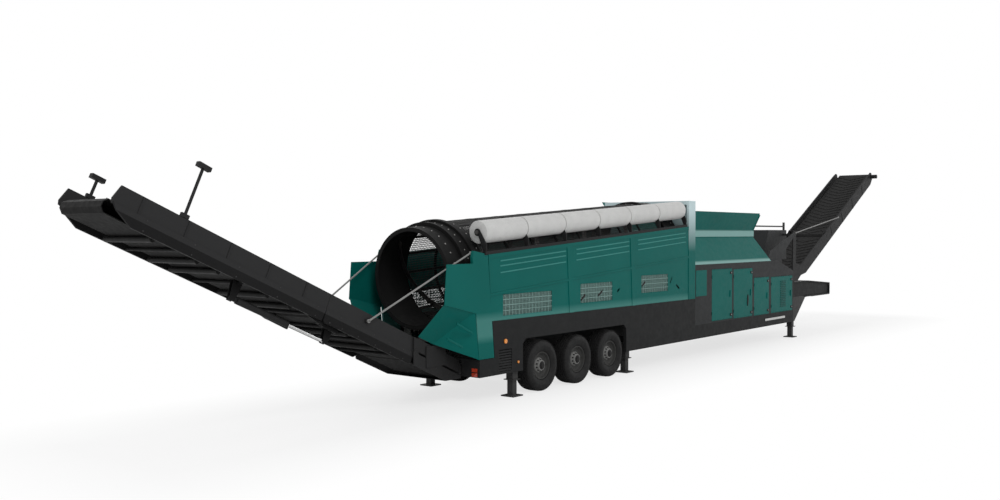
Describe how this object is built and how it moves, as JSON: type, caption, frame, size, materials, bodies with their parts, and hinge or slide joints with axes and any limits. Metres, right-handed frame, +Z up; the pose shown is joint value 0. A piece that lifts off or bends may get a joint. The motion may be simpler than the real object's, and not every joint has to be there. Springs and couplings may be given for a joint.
{
  "type": "trommel screen",
  "caption": "Trailer trommel screen at work: inclined screen drum with a cleaning brush, feed hopper over an engine house, folding tail conveyor and slewing fines conveyor.",
  "frame": {"origin": "coupling pin's axis at the rubbing plate under the gooseneck, where a tractor's coupling meets it", "axes": "+X forward towards the coupling and past it, +Y to the far side (left when facing forward), +Z up; the ground is 1.095 m below the origin"},
  "size_m": [32.0223, 2.897, 5.647],
  "materials": {
    "body_paint": "satin paint",
    "skirt_paint": "dull charcoal paint",
    "conveyor_paint": "satin near-black paint",
    "grey_paint": "light grey paint",
    "rim_paint": "silver grey paint",
    "drum_steel": "worn bare steel",
    "bare_steel": "bare steel",
    "chrome_rod": "polished",
    "brush_fibre": "pale bristle",
    "belt_rubber": "matt black rubber",
    "tyre": "black rubber",
    "engine_block": "cast",
    "lamp_lens": "clear lens"
  },
  "bodies": {
    "chassis": {"axles": "bare_steel", "boot_frame": "body_paint", "boot_rail": "grey_paint", "brush_frame": "grey_paint", "chassis_frame": "body_paint", "drum_walls": "body_paint", "end_frame": "body_paint", "engine": "engine_block", "fixed_belts": "belt_rubber", "fixed_panels": "body_paint", "hopper": "body_paint", "hopper_hood": "body_paint", "house_floor": "body_paint", "house_walls": "body_paint", "kingpin": "bare_steel", "lamps": "lamp_lens", "parking_jacks": "grey_paint", "rear_wings": "body_paint", "side_skirts": "skirt_paint", "tail_foot_frame": "conveyor_paint", "transfer_boot": "body_paint", "trunnions": "bare_steel", "wall_grilles": "grey_paint"},
    "wheel_near_1": {"tyre_near_1": "tyre", "rim_near_1": "rim_paint"},
    "wheel_near_2": {"tyre_near_2": "tyre", "rim_near_2": "rim_paint"},
    "wheel_near_3": {"tyre_near_3": "tyre", "rim_near_3": "rim_paint"},
    "wheel_far_1": {"tyre_far_1": "tyre", "rim_far_1": "rim_paint"},
    "wheel_far_2": {"tyre_far_2": "tyre", "rim_far_2": "rim_paint"},
    "wheel_far_3": {"tyre_far_3": "tyre", "rim_far_3": "rim_paint"},
    "drum": {"drum_cage": "drum_steel"},
    "brush": {"brush_roll": "brush_fibre"},
    "tail_mid": {"tail_mid_frame": "conveyor_paint", "tail_mid_belt": "belt_rubber"},
    "tail_head": {"tail_head_frame": "conveyor_paint", "tail_head_belt": "belt_rubber", "lamp_posts": "grey_paint"},
    "ram_barrels": {"ram_barrels": "conveyor_paint"},
    "ram_rods": {"ram_rods": "chrome_rod"},
    "tail_stays": {"tail_stays": "grey_paint"},
    "slew": {"slew_base": "conveyor_paint"},
    "fines_lower": {"fines_lower_frame": "conveyor_paint", "fines_lower_belt": "belt_rubber"},
    "fines_upper": {"fines_upper_frame": "conveyor_paint", "fines_upper_belt": "belt_rubber"},
    "fines_stay": {"fines_stay": "grey_paint"},
    "door_near_a": {"door_near_a": "body_paint"},
    "door_far_a": {"door_far_a": "body_paint"},
    "door_near_b": {"door_near_b": "body_paint"},
    "door_far_b": {"door_far_b": "body_paint"},
    "door_near_c": {"door_near_c": "body_paint"},
    "door_far_c": {"door_far_c": "body_paint"},
    "door_near_d": {"door_near_d": "body_paint"},
    "door_far_d": {"door_far_d": "body_paint"}
  },
  "joints": [
    {"name": "wheel_near_1_spin", "type": "hinge", "parent": "chassis", "child": "wheel_near_1", "pos_m": [-17.6, -1.0825, -0.559], "axis": [0, 1, 0], "continuous": true},
    {"name": "wheel_near_2_spin", "type": "hinge", "parent": "chassis", "child": "wheel_near_2", "pos_m": [-16.29, -1.0825, -0.559], "axis": [0, 1, 0], "continuous": true},
    {"name": "wheel_near_3_spin", "type": "hinge", "parent": "chassis", "child": "wheel_near_3", "pos_m": [-14.98, -1.0825, -0.559], "axis": [0, 1, 0], "continuous": true},
    {"name": "wheel_far_1_spin", "type": "hinge", "parent": "chassis", "child": "wheel_far_1", "pos_m": [-17.6, 1.0825, -0.559], "axis": [0, 1, 0], "continuous": true},
    {"name": "wheel_far_2_spin", "type": "hinge", "parent": "chassis", "child": "wheel_far_2", "pos_m": [-16.29, 1.0825, -0.559], "axis": [0, 1, 0], "continuous": true},
    {"name": "wheel_far_3_spin", "type": "hinge", "parent": "chassis", "child": "wheel_far_3", "pos_m": [-14.98, 1.0825, -0.559], "axis": [0, 1, 0], "continuous": true},
    {"name": "drum_spin", "type": "hinge", "parent": "chassis", "child": "drum", "pos_m": [-20.2, 0, 1.295], "axis": [0.9974, 0, 0.0715], "continuous": true},
    {"name": "brush_spin", "type": "hinge", "parent": "chassis", "child": "brush", "pos_m": [-19.45748, -1.05, 2.19539], "axis": [0.9974, 0, 0.0715], "continuous": true},
    {"name": "tail_raise", "type": "hinge", "parent": "chassis", "child": "tail_mid", "pos_m": [-20.90697, 0, -0.02151], "axis": [0, 1, 0], "range_deg": [0, 50]},
    {"name": "tail_fold", "type": "hinge", "parent": "tail_mid", "child": "tail_head", "pos_m": [-23.09767, 0, 0.70975], "axis": [0, -1, 0], "range_deg": [0, 115]},
    {"name": "ram_swing", "type": "hinge", "parent": "tail_head", "child": "ram_barrels", "pos_m": [-24.69857, -0.45, 1.17075], "axis": [0, 1, 0], "range_deg": [0, 2.09]},
    {"name": "ram_stroke", "type": "slide", "parent": "ram_barrels", "child": "ram_rods", "axis": [-0.9135, 0, 0.4067], "range_m": [0, 0.782]},
    {"name": "tail_stay_swing", "type": "hinge", "parent": "chassis", "child": "tail_stays", "pos_m": [-19.825, 0, 1.8], "axis": [0, 1, 0], "range_deg": [0, 7.69]},
    {"name": "fines_slew", "type": "hinge", "parent": "chassis", "child": "slew", "pos_m": [-2.4, 0, 0.58], "axis": [0, 0, 1], "range_deg": [-90, 90]},
    {"name": "fines_raise", "type": "hinge", "parent": "slew", "child": "fines_lower", "pos_m": [-2.01875, 0, 0.99303], "axis": [0, -1, 0], "range_deg": [-10, 4]},
    {"name": "fines_fold", "type": "hinge", "parent": "fines_lower", "child": "fines_upper", "pos_m": [0.08225, 0, 2.2514], "axis": [0, -1, 0], "range_deg": [0, 146]},
    {"name": "fines_stay_swing", "type": "hinge", "parent": "slew", "child": "fines_stay", "pos_m": [-2.8, 0, 2.195], "axis": [0, -1, 0], "range_deg": [-8.88, 3.85]},
    {"name": "door_near_a_swing", "type": "hinge", "parent": "chassis", "child": "door_near_a", "pos_m": [-9.92, -1.283, -0.185], "axis": [0, 0, -1], "range_deg": [0, 100]},
    {"name": "door_far_a_swing", "type": "hinge", "parent": "chassis", "child": "door_far_a", "pos_m": [-9.92, 1.283, -0.185], "axis": [0, 0, 1], "range_deg": [0, 100]},
    {"name": "door_near_b_swing", "type": "hinge", "parent": "chassis", "child": "door_near_b", "pos_m": [-8.58, -1.283, -0.205], "axis": [0, 0, -1], "range_deg": [0, 100]},
    {"name": "door_far_b_swing", "type": "hinge", "parent": "chassis", "child": "door_far_b", "pos_m": [-8.58, 1.283, -0.205], "axis": [0, 0, 1], "range_deg": [0, 100]},
    {"name": "door_near_c_swing", "type": "hinge", "parent": "chassis", "child": "door_near_c", "pos_m": [-7.22, -1.283, -0.215], "axis": [0, 0, -1], "range_deg": [0, 100]},
    {"name": "door_far_c_swing", "type": "hinge", "parent": "chassis", "child": "door_far_c", "pos_m": [-7.22, 1.283, -0.215], "axis": [0, 0, 1], "range_deg": [0, 100]},
    {"name": "door_near_d_swing", "type": "hinge", "parent": "chassis", "child": "door_near_d", "pos_m": [-6, -1.283, -0.215], "axis": [0, 0, -1], "range_deg": [0, 100]},
    {"name": "door_far_d_swing", "type": "hinge", "parent": "chassis", "child": "door_far_d", "pos_m": [-6, 1.283, -0.215], "axis": [0, 0, 1], "range_deg": [0, 100]}
  ],
  "couplings": [
    {"joint": "tail_fold", "follows": "tail_raise", "ratio": 2.3},
    {"joint": "ram_swing", "follows": "tail_raise", "ratio": 0.0318},
    {"joint": "ram_stroke", "follows": "tail_raise", "m_per_rad": 0.8904},
    {"joint": "tail_stay_swing", "follows": "tail_raise", "ratio": 0.1437},
    {"joint": "fines_stay_swing", "follows": "fines_raise", "ratio": 0.8382}
  ]
}
